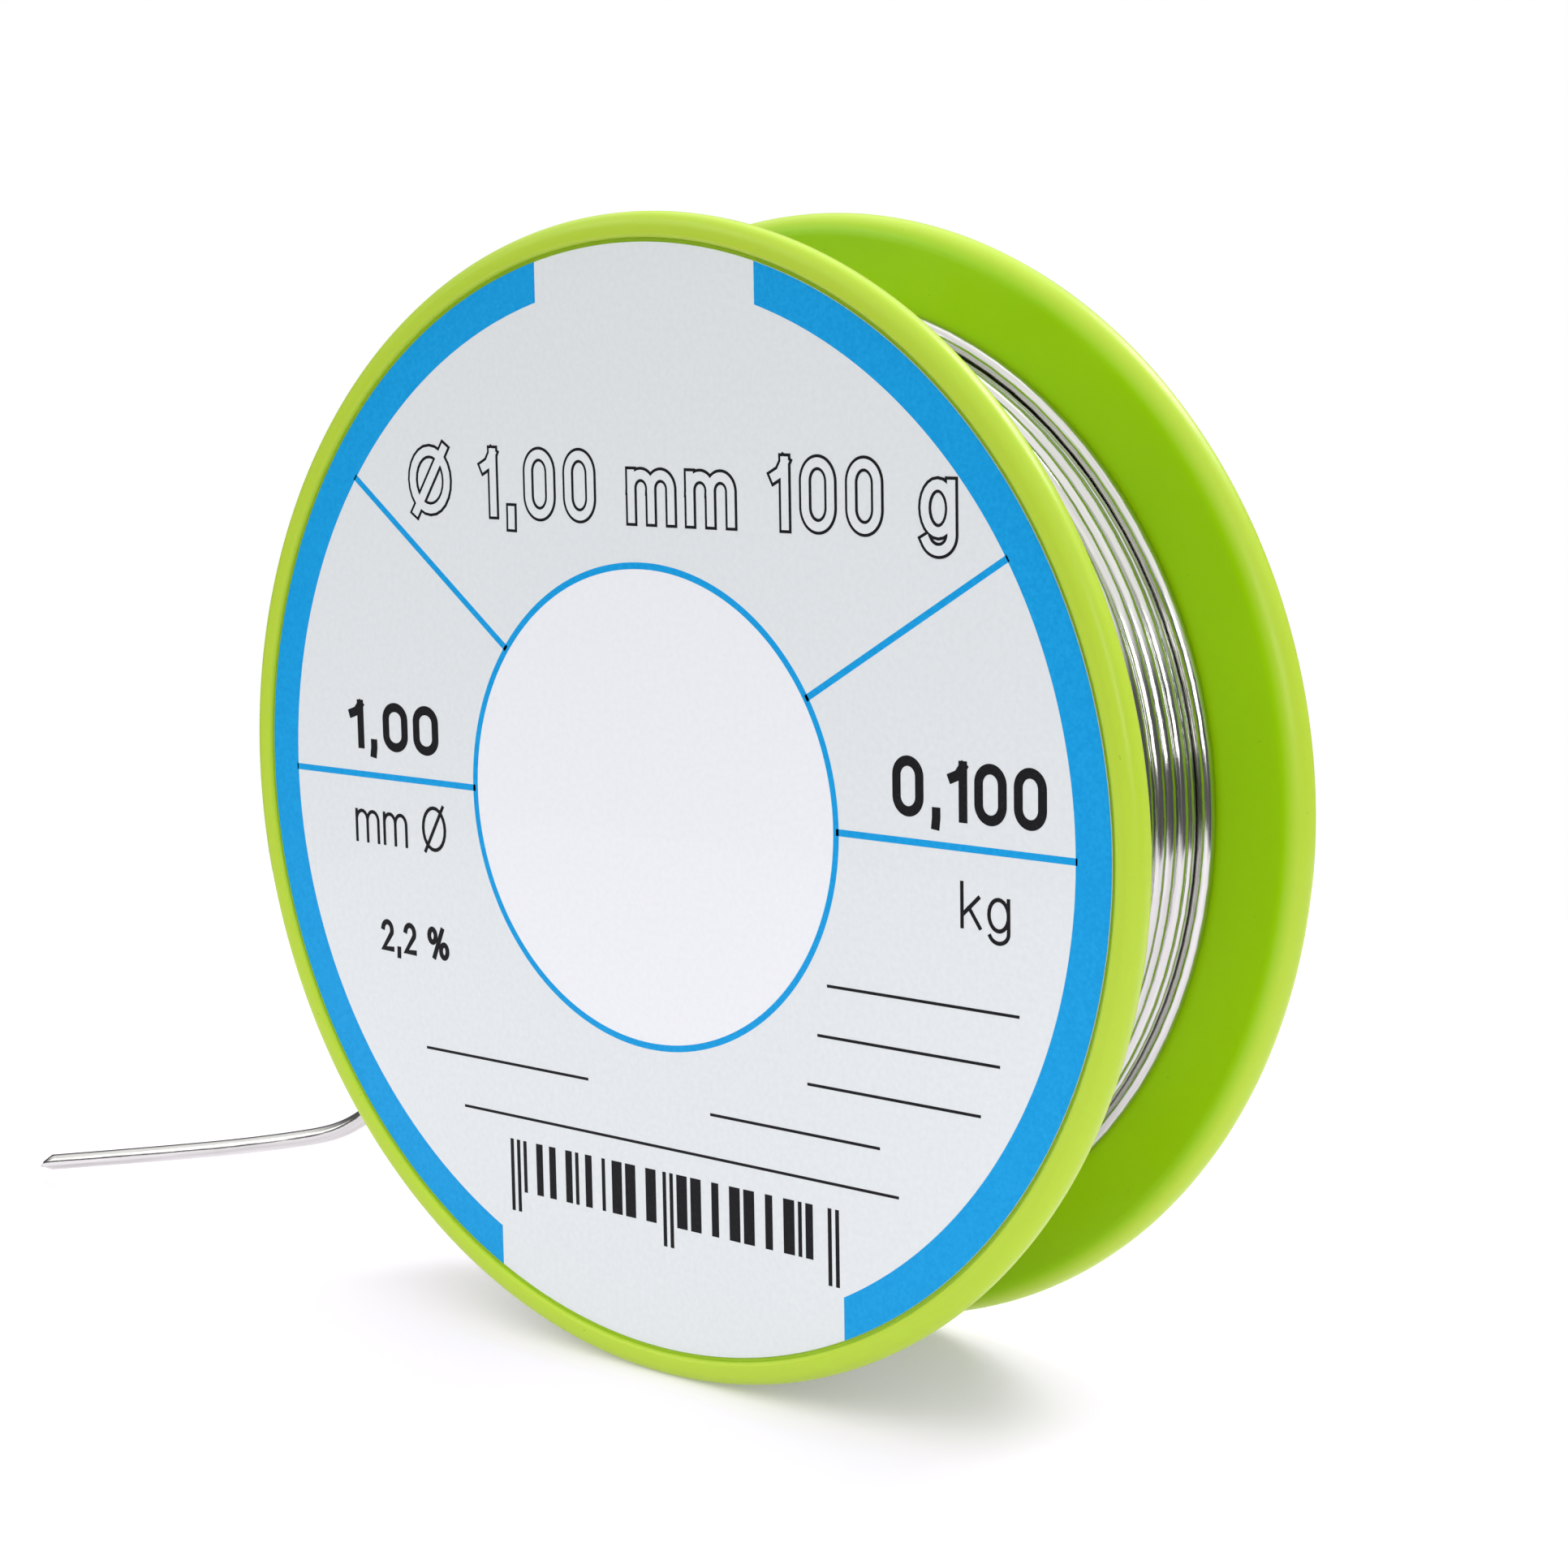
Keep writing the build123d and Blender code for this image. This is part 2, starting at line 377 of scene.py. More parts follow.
# drawn tin: bright, with fine lines from the die along it and a slightly greyer skin in patches
tin, nodes, links, shader = new_material("drawn_tin", (0.78, 0.77, 0.74), 0.2, metallic=1.0)
wire_map = nodes.new("ShaderNodeUVMap")
wire_map.uv_map = "along_wire"
split = nodes.new("ShaderNodeSeparateXYZ")
links.new(wire_map.outputs["UV"], split.inputs["Vector"])
round_wire = math_node(nodes, links, "MULTIPLY", split.outputs["Y"], 2 * math.pi)
around_cos = math_node(nodes, links, "COSINE", round_wire)
around_sin = math_node(nodes, links, "SINE", round_wire)
slow_run = math_node(nodes, links, "MULTIPLY", split.outputs["X"], 60.0)
die_space = nodes.new("ShaderNodeCombineXYZ")
links.new(around_cos, die_space.inputs["X"])
links.new(around_sin, die_space.inputs["Y"])
links.new(slow_run, die_space.inputs["Z"])
die_lines = noise_node(nodes, links, die_space.outputs["Vector"], 7.0, 3.0, 0.6)
skin = grain_mask(nodes, links, die_space.outputs["Vector"], 1.3, 0.4, 0.65)
links.new(range_node(nodes, links, die_lines, 0.3, 0.7, 0.07, 0.18), shader.inputs["Roughness"])
links.new(
    blend_node(nodes, links, skin, (0.60, 0.595, 0.575), (0.50, 0.495, 0.475)),
    shader.inputs["Base Color"],
)
links.new(bump_node(nodes, links, die_lines, 0.35, 0.00002), shader.inputs["Normal"])
solder_wire.data.materials.append(tin)

# the hooked inner end is the same wire, seen only from behind the hub, and has no run of its own
plain_tin, nodes, links, shader = new_material("hooked_tin", (0.74, 0.73, 0.70), 0.25, metallic=1.0)
place = nodes.new("ShaderNodeTexCoord")
dull_patches = grain_mask(nodes, links, place.outputs["Object"], 900.0)
links.new(range_node(nodes, links, dull_patches, 0.0, 1.0, 0.18, 0.34), shader.inputs["Roughness"])
hooked_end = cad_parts["wire_start"]
hooked_end.data.materials.clear()
hooked_end.data.materials.append(plain_tin)

amber, nodes, links, shader = new_material("amber_flux", (0.55, 0.33, 0.10), 0.35)
place = nodes.new("ShaderNodeTexCoord")
cloud = grain_mask(nodes, links, place.outputs["Object"], 6000.0)
links.new(
    blend_node(nodes, links, cloud, (0.62, 0.40, 0.13), (0.42, 0.23, 0.06)),
    shader.inputs["Base Color"],
)
flux_filling.data.materials.append(amber)

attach(solder_wire, "root")
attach(flux_filling, "root")
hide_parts("wire_winding", "wire_free_end")
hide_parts("flux_core")


# ---- reel ----
# Two halves of glossy lime-green polystyrene that plug together at the hub. The plastic lets a little
# light in; the rounded edges of the flanges and their raised rims are painted paler, a painted highlight.

axis_group, entry, leave = value_group("distance_from_axis", (), "Distance")
split = axis_group.nodes.new("ShaderNodeSeparateXYZ")
axis_group.links.new(entry["Place"], split.inputs["Vector"])
x_squared = math_node(axis_group.nodes, axis_group.links, "MULTIPLY", split.outputs["X"], split.outputs["X"])
z_squared = math_node(axis_group.nodes, axis_group.links, "MULTIPLY", split.outputs["Z"], split.outputs["Z"])
square_sum = math_node(axis_group.nodes, axis_group.links, "ADD", x_squared, z_squared)
axis_group.links.new(math_node(axis_group.nodes, axis_group.links, "SQRT", square_sum), leave["Distance"])


def distance_from_axis(nodes, links, place):
    """The distance group on the given coordinates: the root of x squared plus z squared."""
    node = nodes.new("ShaderNodeGroup")
    node.node_tree = axis_group
    links.new(place, node.inputs["Place"])
    return node.outputs["Distance"]


lime, nodes, links, shader = new_material("lime_polystyrene", (0.30, 0.55, 0.01), 0.33)
place = nodes.new("ShaderNodeTexCoord")
from_axis = distance_from_axis(nodes, links, place.outputs["Object"])
split = nodes.new("ShaderNodeSeparateXYZ")
links.new(place.outputs["Object"], split.inputs["Vector"])
from_middle = math_node(nodes, links, "ABSOLUTE", split.outputs["Y"])
# painted highlight: the rounded edge of each flange, and the raised rim round its outer face, are painted
# paler than the flat faces
round_edge = range_node(nodes, links, from_axis, 0.0291, 0.0297, 0.0, 1.0)
raised_rim = range_node(nodes, links, from_axis, 0.0284, 0.0288, 0.0, 1.0)
outer_face = range_node(nodes, links, from_middle, 0.0073, 0.0078, 0.0, 1.0)
rim_face = math_node(nodes, links, "MULTIPLY", raised_rim, outer_face)
painted_highlight_share = math_node(nodes, links, "MAXIMUM", round_edge, rim_face)
flow = grain_mask(nodes, links, place.outputs["Object"], 45.0)
face_lime = blend_node(nodes, links, flow, (0.285, 0.535, 0.000), (0.320, 0.585, 0.001))
# painted highlight: this paler lime stands in for the light on the flanges' rounded edges and rims
painted_highlight_lime = (0.43, 0.59, 0.045)
moulded = blend_node(nodes, links, painted_highlight_share, face_lime, painted_highlight_lime)
specks = grain_mask(nodes, links, place.outputs["Object"], 2600.0, 0.73, 0.80)
links.new(blend_node(nodes, links, specks, moulded, (0.20, 0.36, 0.02)), shader.inputs["Base Color"])
satin = grain_mask(nodes, links, place.outputs["Object"], 350.0)
links.new(range_node(nodes, links, satin, 0.0, 1.0, 0.28, 0.40), shader.inputs["Roughness"])
moulded_grain = grain_mask(nodes, links, place.outputs["Object"], 1500.0)
links.new(bump_node(nodes, links, moulded_grain, 0.04, 0.00003), shader.inputs["Normal"])
shader.inputs["Subsurface Weight"].default_value = 0.25
shader.inputs["Subsurface Radius"].default_value = (0.6, 1.0, 0.1)
shader.inputs["Subsurface Scale"].default_value = 0.0015
shader.inputs["Specular IOR Level"].default_value = 0.2


def rounded_outline(corners, steps=9):
    """A closed (radius, y) outline whose corners are rounded or cut.

    Each corner is (radius, y, kind, size): "round" puts in the arc that is tangent to both sides, "cut"
    the straight chamfer of that size, and "sharp" keeps the point."""
    outline = []
    for index, (radius, y, kind, size) in enumerate(corners):
        here = np.array([radius, y])
        before = np.array(corners[index - 1][:2]) - here
        after = np.array(corners[(index + 1) % len(corners)][:2]) - here
        before /= np.linalg.norm(before)
        after /= np.linalg.norm(after)
        if kind == "sharp":
            outline.append(here)
        elif kind == "cut":
            outline += [here + before * size, here + after * size]
        else:
            half = math.acos(float(before @ after)) / 2
            middle = before + after
            centre = here + middle / np.linalg.norm(middle) * size / math.sin(half)
            first = here + before * size / math.tan(half) - centre
            last = here + after * size / math.tan(half) - centre
            start = math.atan2(first[1], first[0])
            sweep = (math.atan2(last[1], last[0]) - start + math.pi) % (2 * math.pi) - math.pi
            angles = start + np.linspace(0.0, sweep, steps)
            outline += list(centre + size * np.column_stack([np.cos(angles), np.sin(angles)]))
    return np.array(outline)


def turned_ring(name, outline, segments=288):
    """A closed outline carried once round the Y axis: (radius cos a, y, radius sin a)."""
    radius, y = outline.T
    area = np.sum(radius * np.roll(y, -1) - np.roll(radius, -1) * y)
    if area < 0:
        radius, y = radius[::-1], y[::-1]
    a = np.linspace(0.0, 2 * np.pi, segments, endpoint=False)
    rings = np.stack([
        radius[:, None] * np.cos(a),
        np.repeat(y[:, None], segments, axis=1),
        radius[:, None] * np.sin(a),
    ], axis=-1)
    count = len(radius)
    ring, side = np.meshgrid(np.arange(count), np.arange(segments), indexing="ij")
    next_ring = (ring + 1) % count
    next_side = (side + 1) % segments
    quads = np.stack([
        ring * segments + side,
        next_ring * segments + side,
        next_ring * segments + next_side,
        ring * segments + next_side,
    ], axis=-1).reshape(-1, 4)
    return mesh_object(name, rings.reshape(-1, 3), quads.tolist())


def box_piece(name, low, high, turn_angle=0.0):
    """A plain box between two corners, turned round the Y axis: a tool to add or cut with."""
    corner = np.stack(np.meshgrid(*zip(low, high), indexing="ij"), axis=-1).reshape(-1, 3)
    c, s = math.cos(turn_angle), math.sin(turn_angle)
    turned_corner = np.column_stack([
        corner[:, 0] * c - corner[:, 2] * s,
        corner[:, 1],
        corner[:, 0] * s + corner[:, 2] * c,
    ])
    faces = [(0, 1, 3, 2), (4, 6, 7, 5), (0, 4, 5, 1), (2, 3, 7, 6), (0, 2, 6, 4), (1, 5, 7, 3)]
    return mesh_object(name, turned_corner, faces, smooth=False)


def pin_piece(name, foot, direction, length, radius, sides=40):
    """A round pin from a foot along a direction: a tool to cut with."""
    heading = Vector(direction).normalized()
    side_way = np.array(heading.orthogonal().normalized())
    other_way = np.cross(np.array(heading), side_way)
    a = np.linspace(0.0, 2 * np.pi, sides, endpoint=False)
    circle = radius * (np.cos(a)[:, None] * side_way + np.sin(a)[:, None] * other_way)
    ends = [np.array(foot) + circle, np.array(foot) + np.array(heading) * length + circle]
    quads = [(i, (i + 1) % sides, sides + (i + 1) % sides, sides + i) for i in range(sides)]
    caps = [tuple(range(sides - 1, -1, -1)), tuple(range(sides, 2 * sides))]
    return mesh_object(name, np.vstack(ends), quads + caps, smooth=False)


def shape_with(piece, tool, operation):
    """Joins a tool to a piece (UNION) or takes it away (DIFFERENCE), and removes the tool."""
    step = piece.modifiers.new("shaping", "BOOLEAN")
    step.operation = operation
    step.solver = "EXACT"
    step.object = tool
    bpy.context.view_layer.update()
    seen_piece = piece.evaluated_get(bpy.context.evaluated_depsgraph_get())
    shaped = bpy.data.meshes.new_from_object(seen_piece)
    piece.modifiers.clear()
    plain = piece.data
    piece.data = shaped
    bpy.data.meshes.remove(plain)
    bpy.data.objects.remove(tool)


# the flanges: 2 mm thick, with a recess of 0.3 mm in each outer face
flange_radius = 0.030
face_y = 0.008
inner_y = 0.006
recess_y = 0.0077
recess_radius = 0.0287
rim_outer_round = 0.0007
rim_inner_round = 0.0012
recess_edge_round = 0.00025
bore_radius = 0.005
bore_tube_radius = 0.006
hub_hollow_radius = 0.00795
spigot_radius = 0.00895
socket_radius = 0.009
spigot_end_y = -0.004
bore_seat_y = -0.0065
fit_gap = 0.00005
spigot_cut = 0.0005

front_half = turned_ring("front_moulding", rounded_outline([
    (recess_radius, -recess_y, "sharp", 0.0),
    (recess_radius, -face_y, "round", recess_edge_round),
    (flange_radius, -face_y, "round", rim_outer_round),
    (flange_radius, -inner_y, "round", rim_inner_round),
    (drum_radius, -inner_y, "sharp", 0.0),
    (drum_radius, inner_y - fit_gap, "sharp", 0.0),
    (socket_radius, inner_y - fit_gap, "cut", spigot_cut),
    (socket_radius, -inner_y, "sharp", 0.0),
    (bore_tube_radius + fit_gap, -inner_y, "sharp", 0.0),
    (bore_tube_radius + fit_gap, bore_seat_y, "sharp", 0.0),
    (bore_radius, bore_seat_y, "sharp", 0.0),
    (bore_radius, -recess_y, "sharp", 0.0),
]))

# the hole in the drum through which the wire's inner end is hooked
start_hole_radius = 0.00075
hole_foot_radius = 0.0085
hole_depth = 0.002
start_way = (math.cos(start_angle), 0.0, math.sin(start_angle))
hole_foot = np.array(start_way) * hole_foot_radius + np.array([0.0, start_y, 0.0])
hole_pin = pin_piece("start_hole", hole_foot, start_way, hole_depth, start_hole_radius)
shape_with(front_half, hole_pin, "DIFFERENCE")

rear_half = turned_ring("rear_moulding", rounded_outline([
    (recess_radius, recess_y, "sharp", 0.0),
    (recess_radius, face_y, "round", recess_edge_round),
    (flange_radius, face_y, "round", rim_outer_round),
    (flange_radius, inner_y, "round", rim_inner_round),
    (spigot_radius, inner_y, "sharp", 0.0),
    (spigot_radius, spigot_end_y, "cut", spigot_cut),
    (hub_hollow_radius, spigot_end_y, "sharp", 0.0),
    (hub_hollow_radius, recess_y, "sharp", 0.0),
]))
bore_tube = turned_ring("bore_tube", rounded_outline([
    (bore_tube_radius, recess_y, "sharp", 0.0),
    (bore_tube_radius, bore_seat_y + fit_gap, "sharp", 0.0),
    (bore_radius, bore_seat_y + fit_gap, "sharp", 0.0),
    (bore_radius, recess_y, "cut", 0.0004),
]), segments=144)

# three ribs join the spindle tube to the spigot; each reaches halfway into both walls
rib_count = 3
rib_low = (0.0055, spigot_end_y + 0.00002, -0.0005)
rib_high = (0.00845, 0.0067, 0.0005)
for rib in range(rib_count):
    rib_box = box_piece("rib", rib_low, rib_high, rib * 2 * math.pi / rib_count)
    shape_with(bore_tube, rib_box, "UNION")
shape_with(rear_half, bore_tube, "UNION")

# six shallow round marks that the ejector pins leave in the rear face
mark_count = 6
mark_circle_radius = 0.021
mark_radius = 0.002
mark_depth = 0.0001
for mark in range(mark_count):
    mark_angle = mark * 2 * math.pi / mark_count
    mark_x = mark_circle_radius * math.cos(mark_angle)
    mark_z = mark_circle_radius * math.sin(mark_angle)
    mark_foot = (mark_x, recess_y - mark_depth, mark_z)
    mark_pin = pin_piece("ejector_mark", mark_foot, (0, 1, 0), 0.001, mark_radius, 64)
    shape_with(rear_half, mark_pin, "DIFFERENCE")

for moulding, node in ((front_half, "front_spool_half"), (rear_half, "rear_spool_half")):
    moulding.data.materials.clear()
    moulding.data.materials.append(lime)
    moulding.data.polygons.foreach_set("use_smooth", np.full(len(moulding.data.polygons), True))
    moulding.data.set_sharp_from_angle(angle=math.radians(30.0))
    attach(moulding, "root")
    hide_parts(node)


# ---- sticker ----
# A disc of white self-adhesive paper, pressed into the front recess over the bore. Its cut edge is
# rounded a little by the die.

sticker_radius = sticker_high.x
sticker_thickness = sticker_high.y - sticker_low.y


def turned(name, profile, segments):
    """A closed turned shape: each (radius, y) of the profile goes once round the Y axis.

    The profile runs from the axis to the axis; its two end points become single poles."""
    radius, along = np.array(profile, dtype=float).T
    a = np.linspace(0.0, 2 * np.pi, segments, endpoint=False)
    inner = slice(1, len(radius) - 1)
    rings = np.stack([
        radius[inner, None] * np.cos(a),
        np.repeat(along[inner, None], segments, axis=1),
        radius[inner, None] * np.sin(a),
    ], axis=-1)
    count = rings.shape[0]
    ring, side = np.meshgrid(np.arange(count - 1), np.arange(segments), indexing="ij")
    here = ring * segments + side
    beside = ring * segments + (side + 1) % segments
    quads = np.stack([here, here + segments, beside + segments, beside], axis=-1).reshape(-1, 4)
    first_pole, last_pole = count * segments, count * segments + 1
    side = np.arange(segments)
    last_ring = (count - 1) * segments
    first_fan = np.stack([np.full(segments, first_pole), side, (side + 1) % segments], axis=-1)
    last_fan = np.stack([
        np.full(segments, last_pole),
        last_ring + (side + 1) % segments,
        last_ring + side,
    ], axis=-1)
    poles = np.array([[0.0, along[0], 0.0], [0.0, along[-1], 0.0]])
    vertices = np.vstack([rings.reshape(-1, 3), poles])
    return mesh_object(name, vertices, quads.tolist() + first_fan.tolist() + last_fan.tolist())


bend = np.linspace(0.0, np.pi / 2, 5)
edge_round = sticker_thickness * 0.45
sticker_profile = [(0.0, sticker_low.y)]
sticker_profile += [(r, sticker_low.y) for r in np.linspace(0.2, 0.99, 6) * (sticker_radius - edge_round)]
sticker_profile += list(zip(
    sticker_radius - edge_round * (1 - np.sin(bend)),
    sticker_low.y + edge_round * (1 - np.cos(bend)),
))
sticker_profile += [(r, sticker_high.y) for r in (sticker_radius, 0.5 * sticker_radius, 0.0)]
paper_disc = turned("paper_sticker", sticker_profile, 240)

paper, nodes, links, shader = new_material("sticker_paper", (0.75, 0.79, 0.80), 0.5)
place = nodes.new("ShaderNodeTexCoord")
from_axis = distance_from_axis(nodes, links, place.outputs["Object"])
whiter = range_node(nodes, links, from_axis, 0.43 * sticker_radius, 0.44 * sticker_radius, 1.0, 0.0)
fibres = grain_mask(nodes, links, place.outputs["Object"], 3200.0)
outer_paper = blend_node(nodes, links, fibres, (0.655, 0.695, 0.695), (0.695, 0.73, 0.73))
inner_paper = blend_node(nodes, links, fibres, (0.745, 0.765, 0.775), (0.775, 0.795, 0.805))
links.new(blend_node(nodes, links, whiter, outer_paper, inner_paper), shader.inputs["Base Color"])
links.new(bump_node(nodes, links, fibres, 0.07, 0.00002), shader.inputs["Normal"])
shader.inputs["Coat Weight"].default_value = 0.15
paper_disc.data.materials.append(paper)
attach(paper_disc, "root")
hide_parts("label_sticker")


# ---- blue print ----
# A broad ring round the sticker's edge with a plain window at the top and one at the bottom, a thin
# circle round the middle and four thin spokes between them, in light blue ink.

ink_lift = 0.000008
ink_sink = 0.000004


def ink_film(grid):
    """A thin closed film over a grid of (x, z) places on the sticker, as vertices and faces.

    The grid is (rows, columns, 2). The same grid stands once above the paper's face and once just under
    it, and its four edges are closed by narrow quads."""
    rows, columns = grid.shape[:2]
    flat = grid.reshape(-1, 2)
    top = np.column_stack([flat[:, 0], np.full(len(flat), sticker_face_y - ink_lift), flat[:, 1]])
    bottom = np.column_stack([flat[:, 0], np.full(len(flat), sticker_face_y + ink_sink), flat[:, 1]])
    row, column = np.meshgrid(np.arange(rows - 1), np.arange(columns - 1), indexing="ij")
    here = (row * columns + column).ravel()
    face = np.stack([here, here + 1, here + columns + 1, here + columns], axis=-1)
    edge = np.concatenate([
        np.arange(columns),
        np.arange(1, rows) * columns + columns - 1,
        (rows - 1) * columns + np.arange(columns - 2, -1, -1),
        np.arange(rows - 2, -1, -1) * columns,
    ])
    step = np.stack([edge[:-1], edge[1:]], axis=-1)
    count = rows * columns
    wall = np.stack([step[:, 1], step[:, 0], step[:, 0] + count, step[:, 1] + count], axis=-1)
    first_edge = flat[1] - flat[0]
    second_edge = flat[columns] - flat[0]
    faces = np.vstack([face, face[:, ::-1] + count, wall])
    if first_edge[0] * second_edge[1] - first_edge[1] * second_edge[0] < 0:
        faces = faces[:, ::-1]
    return np.vstack([top, bottom]), faces


def printed(name, films, material):
    """One piece made of many ink films, each closed by itself, that rides on the spool."""
    offset = 0
    all_vertices, all_faces = [], []
    for vertices, faces in films:
        all_vertices.append(vertices)
        all_faces.append(faces + offset)
        offset += len(vertices)
    piece = mesh_object(name, np.vstack(all_vertices), np.vstack(all_faces).tolist(), smooth=False)
    piece.data.materials.append(material)
    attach(piece, "root")


def ring_part(top_cut, bottom_cut, side):
    """Grid over one side of the broad ring, whose ends are cut upright at x = top_cut and bottom_cut.

    At each radius the ring runs between the angles whose cosines are the cuts over that radius."""
    radius = np.linspace(ring_inner, ring_outer, 5)[:, None]
    along = np.linspace(0.0, 1.0, 200)[None, :]
    upper = np.arccos(top_cut / radius)
    lower = -np.arccos(bottom_cut / radius)
    if side < 0:
        lower = lower + 2 * np.pi
    angle = upper + (lower - upper) * along
    return np.stack([radius * np.cos(angle), radius * np.sin(angle)], axis=-1)


ring_inner = 0.930 * sticker_radius
ring_outer = sticker_radius - 0.00001
circle_radius = 0.435 * sticker_radius
print_line = 0.00034
window_top = (-0.245 * sticker_radius, 0.272 * sticker_radius)
window_bottom = (-0.398 * sticker_radius, 0.439 * sticker_radius)
spoke_angles = (0.0, 31.1, 142.1, 180.0)

blue_films = [
    ink_film(ring_part(window_top[1], window_bottom[1], 1)),
    ink_film(ring_part(window_top[0], window_bottom[0], -1)),
]
full_turn = np.linspace(0.0, 2 * np.pi, 241)[None, :]
circle_band = np.array([circle_radius - print_line / 2, circle_radius + print_line / 2])[:, None]
circle_grid = np.stack([circle_band * np.cos(full_turn), circle_band * np.sin(full_turn)], axis=-1)
blue_films.append(ink_film(circle_grid))
for degrees in spoke_angles:
    out = np.array([math.cos(math.radians(degrees)), math.sin(math.radians(degrees))])
    sideways = np.array([-out[1], out[0]])
    reach = np.array([circle_radius, ring_inner + 0.0001])[:, None, None]
    half_width = np.array([-print_line / 2, print_line / 2])[None, :, None]
    blue_films.append(ink_film(reach * out + half_width * sideways))

blue_ink, nodes, links, shader = new_material("light_blue_ink", (0.01, 0.28, 0.62), 0.45)
shader.inputs["Specular IOR Level"].default_value = 0.15
place = nodes.new("ShaderNodeTexCoord")
screen_dots = grain_mask(nodes, links, place.outputs["Object"], 5200.0)
links.new(
    blend_node(nodes, links, screen_dots, (0.000, 0.275, 0.62), (0.006, 0.325, 0.68)),
    shader.inputs["Base Color"],
)
printed("blue_print", blue_films, blue_ink)


# ---- black print ----
# Plain figures for the wire's thickness, the weight and the share of flux, a row of outlined figures in
# the upper sector, bars of uneven width and a few ruled lines to write on, in black ink.

black_ink, nodes, links, shader = new_material("black_ink", (0.006, 0.006, 0.007), 0.5)
shader.inputs["Specular IOR Level"].default_value = 0.15
place = nodes.new("ShaderNodeTexCoord")
ink_cover = grain_mask(nodes, links, place.outputs["Object"], 7000.0, 0.55, 0.75)
links.new(
    blend_node(nodes, links, ink_cover, (0.004, 0.004, 0.005), (0.014, 0.014, 0.016)),
    shader.inputs["Base Color"],
)


def stroke_film(path, width, lift=0.0):
    """An ink film along a path of (x, z) places: each place is moved half the width to both sides.

    The sideways direction bisects the path's corner, and reaches farther there so the width holds. An
    open path runs on for half the width at both ends."""
    step = np.diff(path, axis=0)
    step /= np.linalg.norm(step, axis=1)[:, None]
    closed = np.allclose(path[0], path[-1])
    if not closed:
        path = np.vstack([path[0] - step[0] * width / 2, path[1:-1], path[-1] + step[-1] * width / 2])
    before = np.vstack([step[-1:] if closed else step[:1], step])
    after = np.vstack([step, step[:1] if closed else step[-1:]])
    heading = before + after
    heading /= np.linalg.norm(heading, axis=1)[:, None]
    reach = 1.0 / np.maximum((heading * before).sum(axis=1), 0.6)
    sideways = np.column_stack([-heading[:, 1], heading[:, 0]]) * (reach * width / 2)[:, None]
    vertices, faces = ink_film(np.stack([path - sideways, path + sideways], axis=1))
    vertices[:, 1] -= lift * (vertices[:, 1] < sticker_face_y)
    return vertices, faces


def bow(middle_x, middle_z, half_width, half_height, start, end):
    """Places on part of an ellipse, from one angle to another in degrees."""
    a = np.radians(np.linspace(start, end, 25))
    return [(middle_x + half_width * math.cos(v), middle_z + half_height * math.sin(v)) for v in a]


# each character: its width for a height of 1, and the middles of its pen strokes in shares of its box
round_figure = bow(0.5, 0.70, 0.5, 0.30, 0, 180) + bow(0.5, 0.30, 0.5, 0.30, 180, 360) + [(1.0, 0.70)]
pen_strokes = {
    "0": (0.50, [round_figure]),
    "1": (0.30, [[(1.0, 0.0), (1.0, 1.0)], [(1.0, 0.98), (0.55, 0.82), (0.0, 0.76)]]),
    "2": (0.50, [bow(0.5, 0.71, 0.5, 0.29, 165, -25) + [(0.02, 0.0), (1.0, 0.0)]]),
    ",": (0.17, [[(0.6, 0.04), (0.6, -0.06), (0.3, -0.20)]]),
    "%": (0.84, [
        bow(0.18, 0.76, 0.18, 0.24, 0, 360),
        bow(0.82, 0.24, 0.18, 0.24, 0, 360),
        [(0.27, 0.0), (0.73, 1.0)],
    ]),
    "m": (0.74, [
        [(0.0, 0.0), (0.0, 0.72)],
        bow(0.25, 0.49, 0.25, 0.23, 180, 0) + [(0.5, 0.0)],
        bow(0.75, 0.49, 0.25, 0.23, 180, 0) + [(1.0, 0.0)],
    ]),
    "Ø": (0.72, [bow(0.5, 0.5, 0.5, 0.5, 90, 450), [(0.08, -0.04), (0.92, 1.04)]]),
    "k": (0.48, [[(0.0, 0.0), (0.0, 1.0)], [(0.90, 0.70), (0.10, 0.31)], [(0.38, 0.45), (0.96, 0.02)]]),
    "g": (0.50, [bow(0.5, 0.36, 0.5, 0.36, 0, 360), [(1.0, 0.72)] + bow(0.5, -0.03, 0.5, 0.25, 0, -155)]),
    " ": (0.22, []),
}
pen_gap = 0.11


def pen_row(text, left, right, base, top, pen, lift=0.0, drawn=None):
    """Ink films of a row of characters from left to right and from base to top, in shares of the radius.

    The characters' own widths and the gaps between them are stretched to fill the row, and the pen's
    width stays the same everywhere. drawn is the width inked, where it is less than the pen's. Each
    stroke lies a little above the one before, so that no two tops share a plane."""
    height = (top - base) * sticker_radius
    total = sum(pen_strokes[c][0] for c in text) + pen_gap * (len(text) - 1)
    stretch = (right - left) * sticker_radius / total
    at = left * sticker_radius
    films = []
    for character in text:
        wide, strokes = pen_strokes[character]
        for stroke in strokes:
            share = np.array(stroke, dtype=float)
            x = at + pen / 2 + share[:, 0] * (wide * stretch - pen)
            z = base * sticker_radius + pen / 2 + share[:, 1] * (height - pen)
            own_lift = lift + 0.0000005 * len(films)
            films.append(stroke_film(np.column_stack([x, z]), drawn or pen, own_lift))
        at += (wide + pen_gap) * stretch
    return films


bold_pen = 0.00050
plain_pen = 0.00020
black_films = pen_row("1,00", -0.778, -0.531, 0.050, 0.145, bold_pen)
black_films += pen_row("0,100", 0.558, 0.874, 0.042, 0.145, bold_pen)
black_films += pen_row("2,2 %", -0.708, -0.520, -0.343, -0.280, 0.00030)
black_films += pen_row("mm Ø", -0.770, -0.518, -0.134, -0.046, plain_pen)
black_films += pen_row("kg", 0.698, 0.800, -0.135, -0.055, plain_pen)
printed("black_figures", black_films, black_ink)

